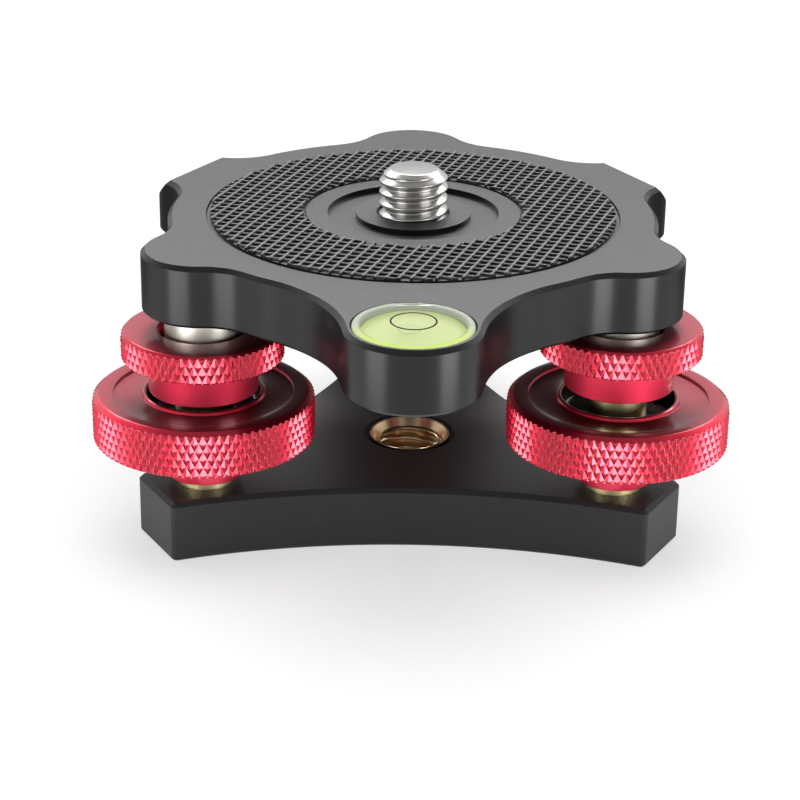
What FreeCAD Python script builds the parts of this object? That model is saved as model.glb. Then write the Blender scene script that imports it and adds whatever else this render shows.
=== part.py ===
import FreeCAD, Part
import math
import os

Vector = FreeCAD.Vector

# Three-armed base plate
base_thickness = 8.6
arm_end_margin = 7.65
arm_end_width = 11.4
side_depth = 19.2
arm_corner_radius = 0.8
base_top_bevel = 0.6
base_bottom_bevel = 0.3
adjuster_radius = 32.45

# Threaded insert for the tripod screw, 3/8 inch by 16 to the inch
tripod_tap_diameter = 8.1
insert_diameter = 11.4
insert_rim_width = 0.25
insert_mouth_depth = 0.6
insert_moat_width = 0.9
insert_moat_depth = 1.4

# Brass levelling spindle with a ball on its upper end
spindle_diameter = 7.8
spindle_end_bevel = 0.3
spindle_stub = 0.4
spindle_shoulder_drop = 1.0
neck_diameter = 4.0
ball_diameter = 6.0
clip_pocket_depth = 4.8
clip_overhang = 1.1
clip_thickness = 0.5
clip_groove_depth = 0.6
clip_mouth = 4.6
spindle_rise = 2.65

# Large knurled wheel that sets the height
wheel_gap = 1.3
boss_diameter = 10.6
boss_height = 5.6
wheel_diameter = 30.3
wheel_knurl_height = 5.6
wheel_bevel_height = 0.8
wheel_bevel_width = 0.95
wheel_rim_land = 2.0
wheel_dish_depth = 0.4
socket_lip = 0.25
socket_depth = 2.1
knurl_edge_break = 0.25

# Small knurled wheel that locks the ball joint
hub_gap = 0.4
hub_diameter = 14.9
hub_height = 4.75
lock_diameter = 22.1
lock_knurl_height = 3.15
lock_bevel_height = 0.65
lock_bevel_width = 0.6
lock_recess_depth = 4.35
lock_recess_bevel = 0.3
left_lock_raise = 0.0
right_lock_raise = 1.4
rear_lock_raise = 0.7
washer_thickness = 0.5

# Nickel-plated collar that holds each ball under the top plate
collar_wall = 1.1
collar_drop = 4.1
collar_edge_break = 0.2
ball_rise = 1.5
seat_wall = 0.6
lower_seat_depth = 2.5
seat_split = 0.3

# Lobed top plate
lock_to_plate = 2.85
plate_thickness = 8.5
disc_radius = 34.0
lobe_radius = 8.0
lobe_fillet = 7.85
sloped_lobe_overhang = 0.1
sloped_lobe_radius = 7.6
front_lobe_overhang = 9.2
front_lobe_wall = 1.0
front_lobe_fillet = 21.4
plate_top_bevel = 0.6
plate_bottom_bevel = 0.4
lobe_slope_start = 2.5
lobe_slope_angle = 43.0

# Rubber pad and the turned rings round the camera screw
pad_margin = 5.4
pad_bore_diameter = 30.0
pad_thickness = 1.0
pad_stand = 0.5
moat_land = 3.1
moat_width = 3.9
moat_depth = 0.8

# Camera screw, 3/8 inch by 16 to the inch
screw_diameter = 9.525
screw_height = 6.3
screw_bevel_height = 1.2
screw_tip_diameter = 6.6
shank_diameter = 10.2
screw_head_diameter = 15.0
screw_head_height = 2.6
hex_across_flats = 6.0
hex_depth = 1.9

# Round bubble level in the front lobe
vial_diameter = 15.4
vial_height = 6.7
vial_stand = 0.1
vial_wall = 1.4
vial_crown = 0.5
vial_lens_thickness = 1.2
vial_edge_radius = 0.3
vial_plug_height = 3.7
ring_diameter = 5.8
ring_width = 0.2
ring_thickness = 0.15
bubble_radius = 1.6
bubble_sink = 0.5
bubble_offset_x = -0.5
bubble_offset_y = -1.1

# Clearances
base_thread_clearance = 0.1
lock_thread_clearance = 0.05
clip_clearance = 0.5
socket_clearance = 0.25
recess_clearance = 0.7
ball_clearance = 0.2
pocket_clearance = 0.2
neck_clearance = 0.5
collar_neck_clearance = 1.0
washer_bore_clearance = 0.1
washer_rim_clearance = 0.3
washer_float = 0.05
head_clearance = 0.2
vial_clearance = 0.05
pad_clearance = 0.1

# Directions of the three adjusters and of the plate's lobes, in degrees
adjuster_angles = {"left": 210.0, "right": 330.0, "rear": 90.0}
lock_raises = {"left": left_lock_raise, "right": right_lock_raise, "rear": rear_lock_raise}
sloped_lobe_angles = [30.0, 150.0]
front_angle = 270.0

# Heights that follow from the sizes above
boss_bottom = base_thickness + wheel_gap
wheel_bottom = boss_bottom + boss_height
wheel_knurl_top = wheel_bottom + wheel_knurl_height
wheel_top = wheel_knurl_top + wheel_bevel_height
socket_floor = wheel_top - wheel_dish_depth - socket_depth
hub_bottom = wheel_top + hub_gap
lock_bottom = hub_bottom + hub_height
lock_knurl_top = lock_bottom + lock_knurl_height
lock_top = lock_knurl_top + lock_bevel_height
plate_bottom = lock_top + lock_to_plate
plate_top = plate_bottom + plate_thickness
collar_bottom = plate_bottom - collar_drop
ball_centre = plate_bottom + ball_rise
spindle_shoulder = collar_bottom - spindle_shoulder_drop
clip_top = clip_pocket_depth - spindle_rise
clip_bottom = clip_top - clip_thickness
spindle_bottom = clip_bottom - spindle_stub
vial_top = plate_top + vial_stand
vial_bottom = vial_top - vial_height
vial_ceiling = vial_top - vial_lens_thickness

# Distances from the vertical axis that follow from the sizes above
arm_reach = adjuster_radius + arm_end_margin
sloped_lobe_distance = disc_radius + sloped_lobe_overhang
front_lobe_distance = disc_radius + front_lobe_overhang

# Radii that follow from the sizes above
spindle_radius = spindle_diameter / 2.0
base_bore_radius = spindle_radius + base_thread_clearance
lock_bore_radius = spindle_radius + lock_thread_clearance
clip_radius = spindle_radius + clip_overhang
clip_pocket_radius = clip_radius + clip_clearance
insert_radius = insert_diameter / 2.0
hub_radius = hub_diameter / 2.0
neck_radius = neck_diameter / 2.0
ball_radius = ball_diameter / 2.0
seat_inner_radius = ball_radius + ball_clearance
seat_outer_radius = seat_inner_radius + seat_wall
ball_pocket_radius = seat_outer_radius + pocket_clearance
collar_radius = ball_pocket_radius + collar_wall
collar_bore_radius = neck_radius + collar_neck_clearance
lock_recess_radius = collar_radius + recess_clearance
groove_radius = spindle_radius - clip_groove_depth
pad_radius = disc_radius - pad_margin
moat_outer_radius = pad_bore_diameter / 2.0 - moat_land
moat_inner_radius = moat_outer_radius - moat_width
vial_radius = vial_diameter / 2.0
cavity_radius = vial_radius - vial_wall
front_lobe_radius = vial_radius + front_lobe_wall


def polar(radius, degrees, height=0.0):
    """Point at a distance and direction from the vertical axis."""
    angle = math.radians(degrees)
    return Vector(radius * math.cos(angle), radius * math.sin(angle), height)


def cylinder(radius, bottom, top):
    return Part.makeCylinder(radius, top - bottom, Vector(0, 0, bottom))


def ring(outer_radius, inner_radius, bottom, top):
    return cylinder(outer_radius, bottom, top).cut(cylinder(inner_radius, bottom, top))


def turned(profile):
    """Solid of revolution about Z from (radius, height) points."""
    points = [Vector(radius, 0, height) for radius, height in profile]
    outline = Part.makePolygon(points + [points[0]])
    return Part.Face(outline).revolve(Vector(0, 0, 0), Vector(0, 0, 1), 360)


def at_adjuster(shape, side):
    placed = shape.copy()
    placed.translate(polar(adjuster_radius, adjuster_angles[side]))
    return placed


def outline_edges(solid, height):
    """Edges of a slab that lie wholly at one height."""
    return [
        edge
        for edge in solid.Edges
        if all(abs(vertex.Z - height) < 1e-6 for vertex in edge.Vertexes)
    ]


def upright_edges(solid):
    return [
        edge
        for edge in solid.Edges
        if len(edge.Vertexes) == 2
        and math.hypot(
            edge.Vertexes[0].X - edge.Vertexes[1].X,
            edge.Vertexes[0].Y - edge.Vertexes[1].Y,
        ) < 1e-6
    ]


def arm_corner(degrees, side):
    """Corner of an arm's flat end, on its clockwise (-1) or other (+1) side."""
    return polar(arm_reach, degrees) + polar(side * arm_end_width / 2.0, degrees + 90.0)


def base_outline():
    """Flat arm ends joined by the three hollow sides."""
    angles = sorted(adjuster_angles.values())
    edges = []
    for index, angle in enumerate(angles):
        following = angles[(index + 1) % len(angles)]
        start = arm_corner(angle, -1)
        end = arm_corner(angle, 1)
        middle = polar(side_depth, angle + 60.0)
        edges.append(Part.LineSegment(start, end).toShape())
        edges.append(Part.Arc(end, middle, arm_corner(following, -1)).toShape())
    return Part.Wire(edges)


def base_plate():
    slab = Part.Face(base_outline()).extrude(Vector(0, 0, base_thickness))
    slab = slab.makeFillet(arm_corner_radius, upright_edges(slab))
    slab = slab.makeChamfer(base_top_bevel, outline_edges(slab, base_thickness))
    slab = slab.makeChamfer(base_bottom_bevel, outline_edges(slab, 0.0))
    slab = slab.cut(cylinder(insert_radius, 0.0, base_thickness))
    moat_floor = base_thickness - insert_moat_depth
    slab = slab.cut(cylinder(insert_radius + insert_moat_width, moat_floor, base_thickness))
    for side in adjuster_angles:
        hole = cylinder(base_bore_radius, 0.0, base_thickness)
        pocket = cylinder(clip_pocket_radius, 0.0, clip_pocket_depth)
        slab = slab.cut(at_adjuster(hole.fuse(pocket), side))
    return slab


def thread_insert():
    bore = tripod_tap_diameter / 2.0
    return turned([
        (bore, 0.0),
        (insert_radius, 0.0),
        (insert_radius, base_thickness),
        (insert_radius - insert_rim_width, base_thickness),
        (bore, base_thickness - insert_mouth_depth),
    ])


def spindle():
    """Threaded shaft, waisted neck and ball."""
    shaft = turned([
        (0.0, spindle_bottom),
        (spindle_radius - spindle_end_bevel, spindle_bottom),
        (spindle_radius, spindle_bottom + spindle_end_bevel),
        (spindle_radius, clip_bottom),
        (groove_radius, clip_bottom),
        (groove_radius, clip_top),
        (spindle_radius, clip_top),
        (spindle_radius, spindle_shoulder),
        (neck_radius, spindle_shoulder),
        (neck_radius, ball_centre),
        (0.0, ball_centre),
    ])
    ball = Part.makeSphere(ball_radius, Vector(0, 0, ball_centre))
    return shaft.fuse(ball).removeSplitter()


def retaining_clip():
    """Spring clip in the spindle's groove, open on one side."""
    clip = ring(clip_radius, groove_radius, clip_bottom, clip_top)
    corner = Vector(0, -clip_mouth / 2.0, clip_bottom)
    return clip.cut(Part.makeBox(2.0 * clip_radius, clip_mouth, clip_thickness, corner))


def height_wheel():
    rim = wheel_diameter / 2.0
    dish_radius = rim - wheel_bevel_width - wheel_rim_land
    dish_floor = wheel_top - wheel_dish_depth
    socket = hub_radius + socket_clearance
    return turned([
        (spindle_radius, boss_bottom),
        (boss_diameter / 2.0, boss_bottom),
        (boss_diameter / 2.0, wheel_bottom),
        (rim - knurl_edge_break, wheel_bottom),
        (rim, wheel_bottom + knurl_edge_break),
        (rim, wheel_knurl_top),
        (rim - wheel_bevel_width, wheel_top),
        (dish_radius, wheel_top),
        (dish_radius, dish_floor),
        (socket + socket_lip, dish_floor),
        (socket, dish_floor - socket_lip),
        (socket, socket_floor),
        (spindle_radius, socket_floor),
    ])


def lock_wheel(raise_height):
    rim = lock_diameter / 2.0
    wheel = turned([
        (lock_bore_radius, hub_bottom),
        (hub_radius - knurl_edge_break, hub_bottom),
        (hub_radius, hub_bottom + knurl_edge_break),
        (hub_radius, lock_bottom),
        (rim - knurl_edge_break, lock_bottom),
        (rim, lock_bottom + knurl_edge_break),
        (rim, lock_knurl_top),
        (rim - lock_bevel_width, lock_top),
        (lock_recess_radius + lock_recess_bevel, lock_top),
        (lock_recess_radius, lock_top - lock_recess_bevel),
        (lock_recess_radius, lock_top - lock_recess_depth),
        (lock_bore_radius, lock_top - lock_recess_depth),
    ])
    wheel.translate(Vector(0, 0, raise_height))
    return wheel


def friction_washer(raise_height):
    bottom = lock_top - lock_recess_depth + washer_float
    washer = turned([
        (spindle_radius + washer_bore_clearance, bottom),
        (lock_recess_radius - washer_rim_clearance, bottom),
        (lock_recess_radius - washer_rim_clearance, bottom + washer_thickness),
        (spindle_radius + washer_bore_clearance, bottom + washer_thickness),
    ])
    washer.translate(Vector(0, 0, raise_height))
    return washer


def seat_shell():
    centre = Vector(0, 0, ball_centre)
    return Part.makeSphere(seat_outer_radius, centre).cut(Part.makeSphere(seat_inner_radius, centre))


def upper_seat():
    bottom = ball_centre + seat_split / 2.0
    return seat_shell().common(cylinder(seat_outer_radius, bottom, ball_centre + seat_outer_radius))


def lower_seat():
    top = ball_centre - seat_split / 2.0
    shell = seat_shell().common(cylinder(seat_outer_radius, ball_centre - lower_seat_depth, top))
    return shell.cut(cylinder(neck_radius + neck_clearance, ball_centre - seat_outer_radius, top))


def ball_collar():
    """Sleeve in the lobe whose hollow upper end holds the lower seat."""
    sleeve = turned([
        (collar_bore_radius, collar_bottom),
        (collar_radius - collar_edge_break, collar_bottom),
        (collar_radius, collar_bottom + collar_edge_break),
        (collar_radius, ball_centre),
        (collar_bore_radius, ball_centre),
    ])
    return sleeve.cut(Part.makeSphere(ball_pocket_radius, Vector(0, 0, ball_centre)))


def lobe_edges(angle, distance, radius, fillet):
    """Fillet, lobe and fillet arcs, and the angle that they take up on the disc."""
    reach = disc_radius + fillet
    cosine = (reach ** 2 + distance ** 2 - (radius + fillet) ** 2) / (2.0 * reach * distance)
    half = math.degrees(math.acos(cosine))
    lobe_centre = polar(distance, angle)
    arcs = []
    joins = []
    for turn in (-half, half):
        fillet_centre = polar(reach, angle + turn)
        on_disc = polar(disc_radius, angle + turn)
        to_lobe = (lobe_centre - fillet_centre).normalize()
        on_lobe = fillet_centre + to_lobe * fillet
        to_disc = (on_disc - fillet_centre).normalize()
        middle = fillet_centre + (to_lobe + to_disc).normalize() * fillet
        arcs.append((on_disc, middle, on_lobe))
        joins.append(on_lobe)
    first = Part.Arc(*arcs[0]).toShape()
    lobe = Part.Arc(joins[0], polar(distance + radius, angle), joins[1]).toShape()
    last = Part.Arc(*reversed(arcs[1])).toShape()
    return [first, lobe, last], half


def plate_outline():
    lobes = [(front_angle, front_lobe_distance, front_lobe_radius, front_lobe_fillet)]
    for angle in adjuster_angles.values():
        lobes.append((angle, adjuster_radius, lobe_radius, lobe_fillet))
    for angle in sloped_lobe_angles:
        lobes.append((angle, sloped_lobe_distance, sloped_lobe_radius, lobe_fillet))
    lobes.sort()
    shapes = [lobe_edges(*lobe) for lobe in lobes]
    edges = []
    for index, (arcs, half) in enumerate(shapes):
        following = (index + 1) % len(lobes)
        start = lobes[index][0] + half
        end = lobes[following][0] - shapes[following][1]
        if following == 0:
            end += 360.0
        middle = (start + end) / 2.0
        rim = Part.Arc(polar(disc_radius, start), polar(disc_radius, middle), polar(disc_radius, end))
        edges.extend(arcs)
        edges.append(rim.toShape())
    return Part.Wire(edges)


def lobe_slope(angle):
    """Wedge that slices the outer top edge of a lobe."""
    size = 4.0 * sloped_lobe_radius
    wedge = Part.makeBox(size, size, size, Vector(0, -size / 2.0, 0))
    wedge.rotate(Vector(0, 0, 0), Vector(0, 1, 0), lobe_slope_angle)
    wedge.translate(Vector(sloped_lobe_distance + lobe_slope_start, 0, plate_top))
    wedge.rotate(Vector(0, 0, 0), Vector(0, 0, 1), angle)
    return wedge


def ball_pocket():
    """Bore for the collar and the hollow for the upper seat above it."""
    bore = cylinder(collar_radius, plate_bottom, ball_centre)
    return bore.fuse(Part.makeSphere(ball_pocket_radius, Vector(0, 0, ball_centre)))


def top_plate():
    slab = Part.Face(plate_outline()).extrude(Vector(0, 0, plate_thickness))
    slab.translate(Vector(0, 0, plate_bottom))
    slab = slab.makeChamfer(plate_top_bevel, outline_edges(slab, plate_top))
    slab = slab.makeChamfer(plate_bottom_bevel, outline_edges(slab, plate_bottom))
    for angle in sloped_lobe_angles:
        slab = slab.cut(lobe_slope(angle))
    pad_floor = plate_top - (pad_thickness - pad_stand)
    pad_inner = pad_bore_diameter / 2.0 - pad_clearance
    slab = slab.cut(ring(pad_radius + pad_clearance, pad_inner, pad_floor, plate_top))
    slab = slab.cut(ring(moat_outer_radius, moat_inner_radius, plate_top - moat_depth, plate_top))
    slab = slab.cut(cylinder(shank_diameter / 2.0, plate_bottom, plate_top))
    head_top = plate_bottom + screw_head_height
    slab = slab.cut(cylinder(screw_head_diameter / 2.0 + head_clearance, plate_bottom, head_top))
    for side in adjuster_angles:
        slab = slab.cut(at_adjuster(ball_pocket(), side))
    return slab.cut(at_front(cylinder(vial_radius + vial_clearance, vial_bottom, plate_top)))


def camera_pad():
    bottom = plate_top - (pad_thickness - pad_stand)
    return ring(pad_radius, pad_bore_diameter / 2.0, bottom, bottom + pad_thickness)


def hexagon(across_flats, bottom, top):
    corners = [polar(across_flats / math.sqrt(3.0), 60.0 * step, bottom) for step in range(6)]
    outline = Part.makePolygon(corners + [corners[0]])
    return Part.Face(outline).extrude(Vector(0, 0, top - bottom))


def camera_screw():
    """Threaded end above the plate, shank through it and hexagon-socket head below."""
    head_top = plate_bottom + screw_head_height
    tip = plate_top + screw_height
    screw = turned([
        (0.0, plate_bottom),
        (screw_head_diameter / 2.0, plate_bottom),
        (screw_head_diameter / 2.0, head_top),
        (shank_diameter / 2.0, head_top),
        (shank_diameter / 2.0, plate_top),
        (screw_diameter / 2.0, plate_top),
        (screw_diameter / 2.0, tip - screw_bevel_height),
        (screw_tip_diameter / 2.0, tip),
        (0.0, tip),
    ])
    return screw.cut(hexagon(hex_across_flats, plate_bottom, plate_bottom + hex_depth))


def at_front(shape):
    placed = shape.copy()
    placed.translate(polar(front_lobe_distance, front_angle))
    return placed


def vial_dome():
    """Cylinder of the vial's width under a shallow domed top."""
    dome_radius = (vial_radius ** 2 + vial_crown ** 2) / (2.0 * vial_crown)
    blank = cylinder(vial_radius, vial_bottom, vial_top + 2.0 * vial_crown)
    dome_centre = Vector(0, 0, vial_top + vial_crown - dome_radius)
    blank = blank.common(Part.makeSphere(dome_radius, dome_centre))
    return blank.makeFillet(vial_edge_radius, outline_edges(blank, vial_top))


def sight_ring():
    """Ring let into the top of the dome, round its middle."""
    radius = ring_diameter / 2.0
    fall = radius ** 2 * vial_crown / vial_radius ** 2
    top = vial_top + vial_crown - fall
    return at_front(ring(radius, radius - ring_width, top - ring_thickness, top))


def vial_body():
    """Clear cup, closed by the dome, that holds the liquid."""
    cup = vial_dome().cut(cylinder(cavity_radius, vial_bottom, vial_ceiling))
    groove = ring(ring_diameter / 2.0, ring_diameter / 2.0 - ring_width, vial_top, vial_top + vial_crown)
    floor = sight_ring().BoundBox.ZMin
    groove.translate(Vector(0, 0, floor - vial_top))
    return at_front(cup.cut(groove))


def vial_plug():
    return at_front(cylinder(cavity_radius, vial_bottom, vial_bottom + vial_plug_height))


def vial_liquid():
    """Liquid under the lens, with the bubble left out of it."""
    liquid = cylinder(cavity_radius, vial_bottom + vial_plug_height, vial_ceiling)
    centre = Vector(bubble_offset_x, bubble_offset_y, vial_ceiling + bubble_sink)
    return at_front(liquid.cut(Part.makeSphere(bubble_radius, centre)))


def save(node, shape):
    shape.exportStep("parts/" + node + ".step")
    print(node, len(shape.Solids), shape.isValid(), round(shape.Volume, 2))


def build():
    os.makedirs("parts", exist_ok=True)
    save("base_plate", base_plate())
    save("tripod_thread_insert", thread_insert())
    save("top_plate", top_plate())
    save("camera_pad", camera_pad())
    save("camera_screw", camera_screw())
    save("level_vial_body", vial_body())
    save("level_vial_plug", vial_plug())
    save("level_sight_ring", sight_ring())
    save("level_liquid", vial_liquid())
    for side in adjuster_angles:
        save("spindle_" + side, at_adjuster(spindle(), side))
        save("retaining_clip_" + side, at_adjuster(retaining_clip(), side))
        save("height_wheel_" + side, at_adjuster(height_wheel(), side))
        save("lock_wheel_" + side, at_adjuster(lock_wheel(lock_raises[side]), side))
        save("friction_washer_" + side, at_adjuster(friction_washer(lock_raises[side]), side))
        save("upper_ball_seat_" + side, at_adjuster(upper_seat(), side))
        save("lower_ball_seat_" + side, at_adjuster(lower_seat(), side))
        save("ball_collar_" + side, at_adjuster(ball_collar(), side))


build()
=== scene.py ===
import math

import bmesh
import bpy
from mathutils import Matrix, Vector
from mathutils.geometry import delaunay_2d_cdt


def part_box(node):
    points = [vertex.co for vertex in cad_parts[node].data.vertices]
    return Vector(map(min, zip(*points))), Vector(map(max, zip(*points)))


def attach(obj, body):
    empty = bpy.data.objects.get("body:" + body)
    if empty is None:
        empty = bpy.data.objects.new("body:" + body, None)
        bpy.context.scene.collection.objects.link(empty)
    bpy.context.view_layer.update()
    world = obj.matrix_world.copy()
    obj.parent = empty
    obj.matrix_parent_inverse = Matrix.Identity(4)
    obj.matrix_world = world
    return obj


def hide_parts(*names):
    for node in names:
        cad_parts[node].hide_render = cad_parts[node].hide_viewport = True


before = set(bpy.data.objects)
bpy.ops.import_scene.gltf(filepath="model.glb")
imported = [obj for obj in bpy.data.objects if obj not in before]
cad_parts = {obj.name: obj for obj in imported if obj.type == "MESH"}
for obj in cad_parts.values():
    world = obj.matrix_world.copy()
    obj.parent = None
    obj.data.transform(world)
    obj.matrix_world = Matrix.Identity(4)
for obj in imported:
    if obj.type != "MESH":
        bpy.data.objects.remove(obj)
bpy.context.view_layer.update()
mm = 0.001
sides = ("left", "right", "rear")


def fillSockets(tree, node, sockets):
    for name, value in (sockets or {}).items():
        if isinstance(value, bpy.types.NodeSocket):
            tree.links.new(value, node.inputs[name])
        else:
            node.inputs[name].default_value = value
    return node


def addNode(tree, kind, sockets=None, **settings):
    node = tree.nodes.new(kind)
    for name, value in settings.items():
        setattr(node, name, value)
    return fillSockets(tree, node, sockets)


def useGroup(tree, group, sockets):
    return addNode(tree, "ShaderNodeGroup", sockets, node_tree=group).outputs


def calc(tree, operation, first, second=0.0):
    return addNode(tree, "ShaderNodeMath", {0: first, 1: second}, operation=operation).outputs[0]


def mixColour(tree, factor, first, second):
    node = addNode(tree, "ShaderNodeMix", {0: factor, 6: first, 7: second}, data_type="RGBA")
    return node.outputs[2]


def remap(tree, value, low, high, newLow=0.0, newHigh=1.0):
    sockets = {"Value": value, "From Min": low, "From Max": high, "To Min": newLow, "To Max": newHigh}
    return addNode(tree, "ShaderNodeMapRange", sockets).outputs["Result"]


def axesOf(tree, vector):
    return addNode(tree, "ShaderNodeSeparateXYZ", {0: vector}).outputs


def radiusOf(tree, spot):
    squareX = calc(tree, "MULTIPLY", spot[0], spot[0])
    squareY = calc(tree, "MULTIPLY", spot[1], spot[1])
    return calc(tree, "SQRT", calc(tree, "ADD", squareX, squareY))


def opaque(colour):
    return (*colour, 1.0)


def newGroup(name, inputs, outputs):
    tree = bpy.data.node_groups.new(name, "ShaderNodeTree")
    for label, kind in inputs:
        tree.interface.new_socket(label, in_out="INPUT", socket_type=kind)
    for label, kind in outputs:
        tree.interface.new_socket(label, in_out="OUTPUT", socket_type=kind)
    source = tree.nodes.new("NodeGroupInput")
    target = tree.nodes.new("NodeGroupOutput")
    return tree, source.outputs, target


noiseSpan = (0.3, 0.7)  # the noise seldom leaves this span
cloudShare = 0.06  # the cloud's scale, as a share of the grain's
levelFace = 0.6  # a face whose normal rises more than this lies across the axis
wallSpan = (0.04, 0.15)  # rise of the normal over which a wall becomes a slope
edgeSpan = (0.99, 0.8)  # cosine between the rounded and the flat normal, from no edge to a full one
origin = (0.0, 0.0, 0.0)
black, white = (0.0, 0.0, 0.0), (1.0, 1.0, 1.0)

# fine blasted grain with a slow cloudy variation under it
fineGrain, grainIn, grainOut = newGroup(
    "fineGrain",
    [("Vector", "NodeSocketVector"), ("Scale", "NodeSocketFloat")],
    [("Cloud", "NodeSocketFloat"), ("Height", "NodeSocketFloat")],
)
cloudScale = calc(fineGrain, "MULTIPLY", grainIn["Scale"], cloudShare)
cloudNoise = addNode(fineGrain, "ShaderNodeTexNoise",
                     {"Vector": grainIn["Vector"], "Scale": cloudScale, "Detail": 3.0})
grainNoise = addNode(fineGrain, "ShaderNodeTexNoise",
                     {"Vector": grainIn["Vector"], "Scale": grainIn["Scale"], "Detail": 4.0})
fillSockets(fineGrain, grainOut, {
    "Cloud": remap(fineGrain, cloudNoise.outputs[0], *noiseSpan),
    "Height": grainNoise.outputs[0],
})

# tool marks: circles on faces across the axis, bands on the walls round it
turnedMarks, marksIn, marksOut = newGroup(
    "turnedMarks",
    [("Vector", "NodeSocketVector"), ("Density", "NodeSocketFloat")],
    [("Lines", "NodeSocketFloat")],
)
marksAt = axesOf(turnedMarks, marksIn["Vector"])
marksNormal = addNode(turnedMarks, "ShaderNodeNewGeometry").outputs["True Normal"]
marksRise = calc(turnedMarks, "ABSOLUTE", axesOf(turnedMarks, marksNormal)[2])
marksAcross = calc(turnedMarks, "GREATER_THAN", marksRise, levelFace)
marksBeside = calc(turnedMarks, "SUBTRACT", 1.0, marksAcross)
marksAlong = calc(turnedMarks, "ADD",
                  calc(turnedMarks, "MULTIPLY", radiusOf(turnedMarks, marksAt), marksAcross),
                  calc(turnedMarks, "MULTIPLY", marksAt[2], marksBeside))
marksPlace = calc(turnedMarks, "MULTIPLY", marksAlong, marksIn["Density"])
marksNoise = addNode(turnedMarks, "ShaderNodeTexNoise", {"W": marksPlace, "Scale": 1.0, "Detail": 2.0},
                     noise_dimensions="1D")
fillSockets(turnedMarks, marksOut, {"Lines": marksNoise.outputs[0]})

# where a rounded edge would turn away from the flat faces beside it
edgeLight, edgeIn, edgeOut = newGroup(
    "edgeLight",
    [("Radius", "NodeSocketFloat")],
    [("Mask", "NodeSocketFloat"), ("Normal", "NodeSocketVector")],
)
roundNormal = addNode(edgeLight, "ShaderNodeBevel", {"Radius": edgeIn["Radius"]}, samples=4).outputs[0]
flatNormal = addNode(edgeLight, "ShaderNodeNewGeometry").outputs["Normal"]
edgeDot = addNode(edgeLight, "ShaderNodeVectorMath", {0: roundNormal, 1: flatNormal},
                  operation="DOT_PRODUCT").outputs["Value"]
fillSockets(edgeLight, edgeOut, {
    "Mask": remap(edgeLight, edgeDot, *edgeSpan),
    "Normal": roundNormal,
})


def newMaterial(name, shaderSockets):
    material = bpy.data.materials.new(name)
    material.use_nodes = True
    tree = material.node_tree
    tree.nodes.clear()
    shader = addNode(tree, "ShaderNodeBsdfPrincipled", shaderSockets)
    addNode(tree, "ShaderNodeOutputMaterial", {"Surface": shader.outputs[0]})
    return material, tree, shader


def shifted(tree, centre):
    place = addNode(tree, "ShaderNodeTexCoord").outputs["Object"]
    return addNode(tree, "ShaderNodeVectorMath", {0: place, 1: centre}, operation="SUBTRACT").outputs[0]


def grainRoughness(tree, place, scale, span):
    grain = useGroup(tree, fineGrain, {"Vector": place, "Scale": scale})
    return remap(tree, grain["Height"], *noiseSpan, *span)


def finish(name, look, centre=origin):
    material, tree, shader = newMaterial(name, look["shader"])
    place = shifted(tree, centre)
    spot = axesOf(tree, place)
    normal = addNode(tree, "ShaderNodeNewGeometry").outputs["True Normal"]
    level = calc(tree, "ABSOLUTE", axesOf(tree, normal)[2])
    grain = useGroup(tree, fineGrain, {"Vector": place, "Scale": look["grainScale"]})
    marks = useGroup(tree, turnedMarks, {"Vector": place, "Density": look["markDensity"]})["Lines"]
    colour = mixColour(tree, grain["Cloud"], opaque(look["dark"]), opaque(look["light"]))
    rough = remap(tree, grain["Height"], *noiseSpan, *look["roughness"])
    normalSocket = {}
    for span in look.get("levelShares", ()):  # walls and level faces are machined differently
        rough = calc(tree, "MULTIPLY", rough, remap(tree, level, *span))
    if "levelShading" in look:  # painted light and shade: the walls and the turned level faces are painted shades of their own, matching how each catches the light
        colour = mixColour(tree, remap(tree, level, *wallSpan), opaque(look["wallShading"]), colour)
        colour = mixColour(tree, remap(tree, level, *look["tintSpan"]), colour, opaque(look["levelShading"]))
    if "edge" in look:  # painted highlight: lighter along its edges, where rounded edges would catch the light
        edge = useGroup(tree, edgeLight, {"Radius": look["edgeRadius"]})
        glint = calc(tree, "MULTIPLY", edge["Mask"], look["edgeHighlight"])
        colour = mixColour(tree, glint, colour, opaque(look["edge"]))
        normalSocket = {"Normal": edge["Normal"]}
    if "hollow" in look:  # painted shade inside the socket
        inside = calc(tree, "LESS_THAN", radiusOf(tree, spot), look["hollow"])
        inside = calc(tree, "MULTIPLY", inside, remap(tree, spot[2], *look["hollowRise"]))
        colour = mixColour(tree, inside, colour, opaque(look["hollowShade"]))
    if "deep" in look:  # painted shade below the ribs, which are also duller there
        colour = mixColour(tree, remap(tree, spot[2], *look["deep"]), opaque(look["shade"]), colour)
        dull = remap(tree, spot[2], *look["deep"], look["deepRoughness"], 0.0)
        rough = calc(tree, "MAXIMUM", rough, dull)
    if "mirrorShade" in look:  # painted shade in reflections: other parts mirror it in this darker colour
        glossy = addNode(tree, "ShaderNodeLightPath").outputs["Is Glossy Ray"]
        share = calc(tree, "MULTIPLY", glossy, look["mirroredShare"])
        colour = mixColour(tree, share, colour, opaque(look["mirrorShade"]))
    fillSockets(tree, shader, {"Base Color": colour, "Roughness": rough})
    relief = calc(tree, "ADD",
                  calc(tree, "MULTIPLY", grain["Height"], look["grainDepth"]),
                  calc(tree, "MULTIPLY", marks, look["markDepth"]))
    bump = addNode(tree, "ShaderNodeBump", {
        "Height": relief, "Distance": 1.0, "Strength": 1.0, **normalSocket})
    fillSockets(tree, shader, {"Normal": bump.outputs[0]})
    return material


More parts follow.
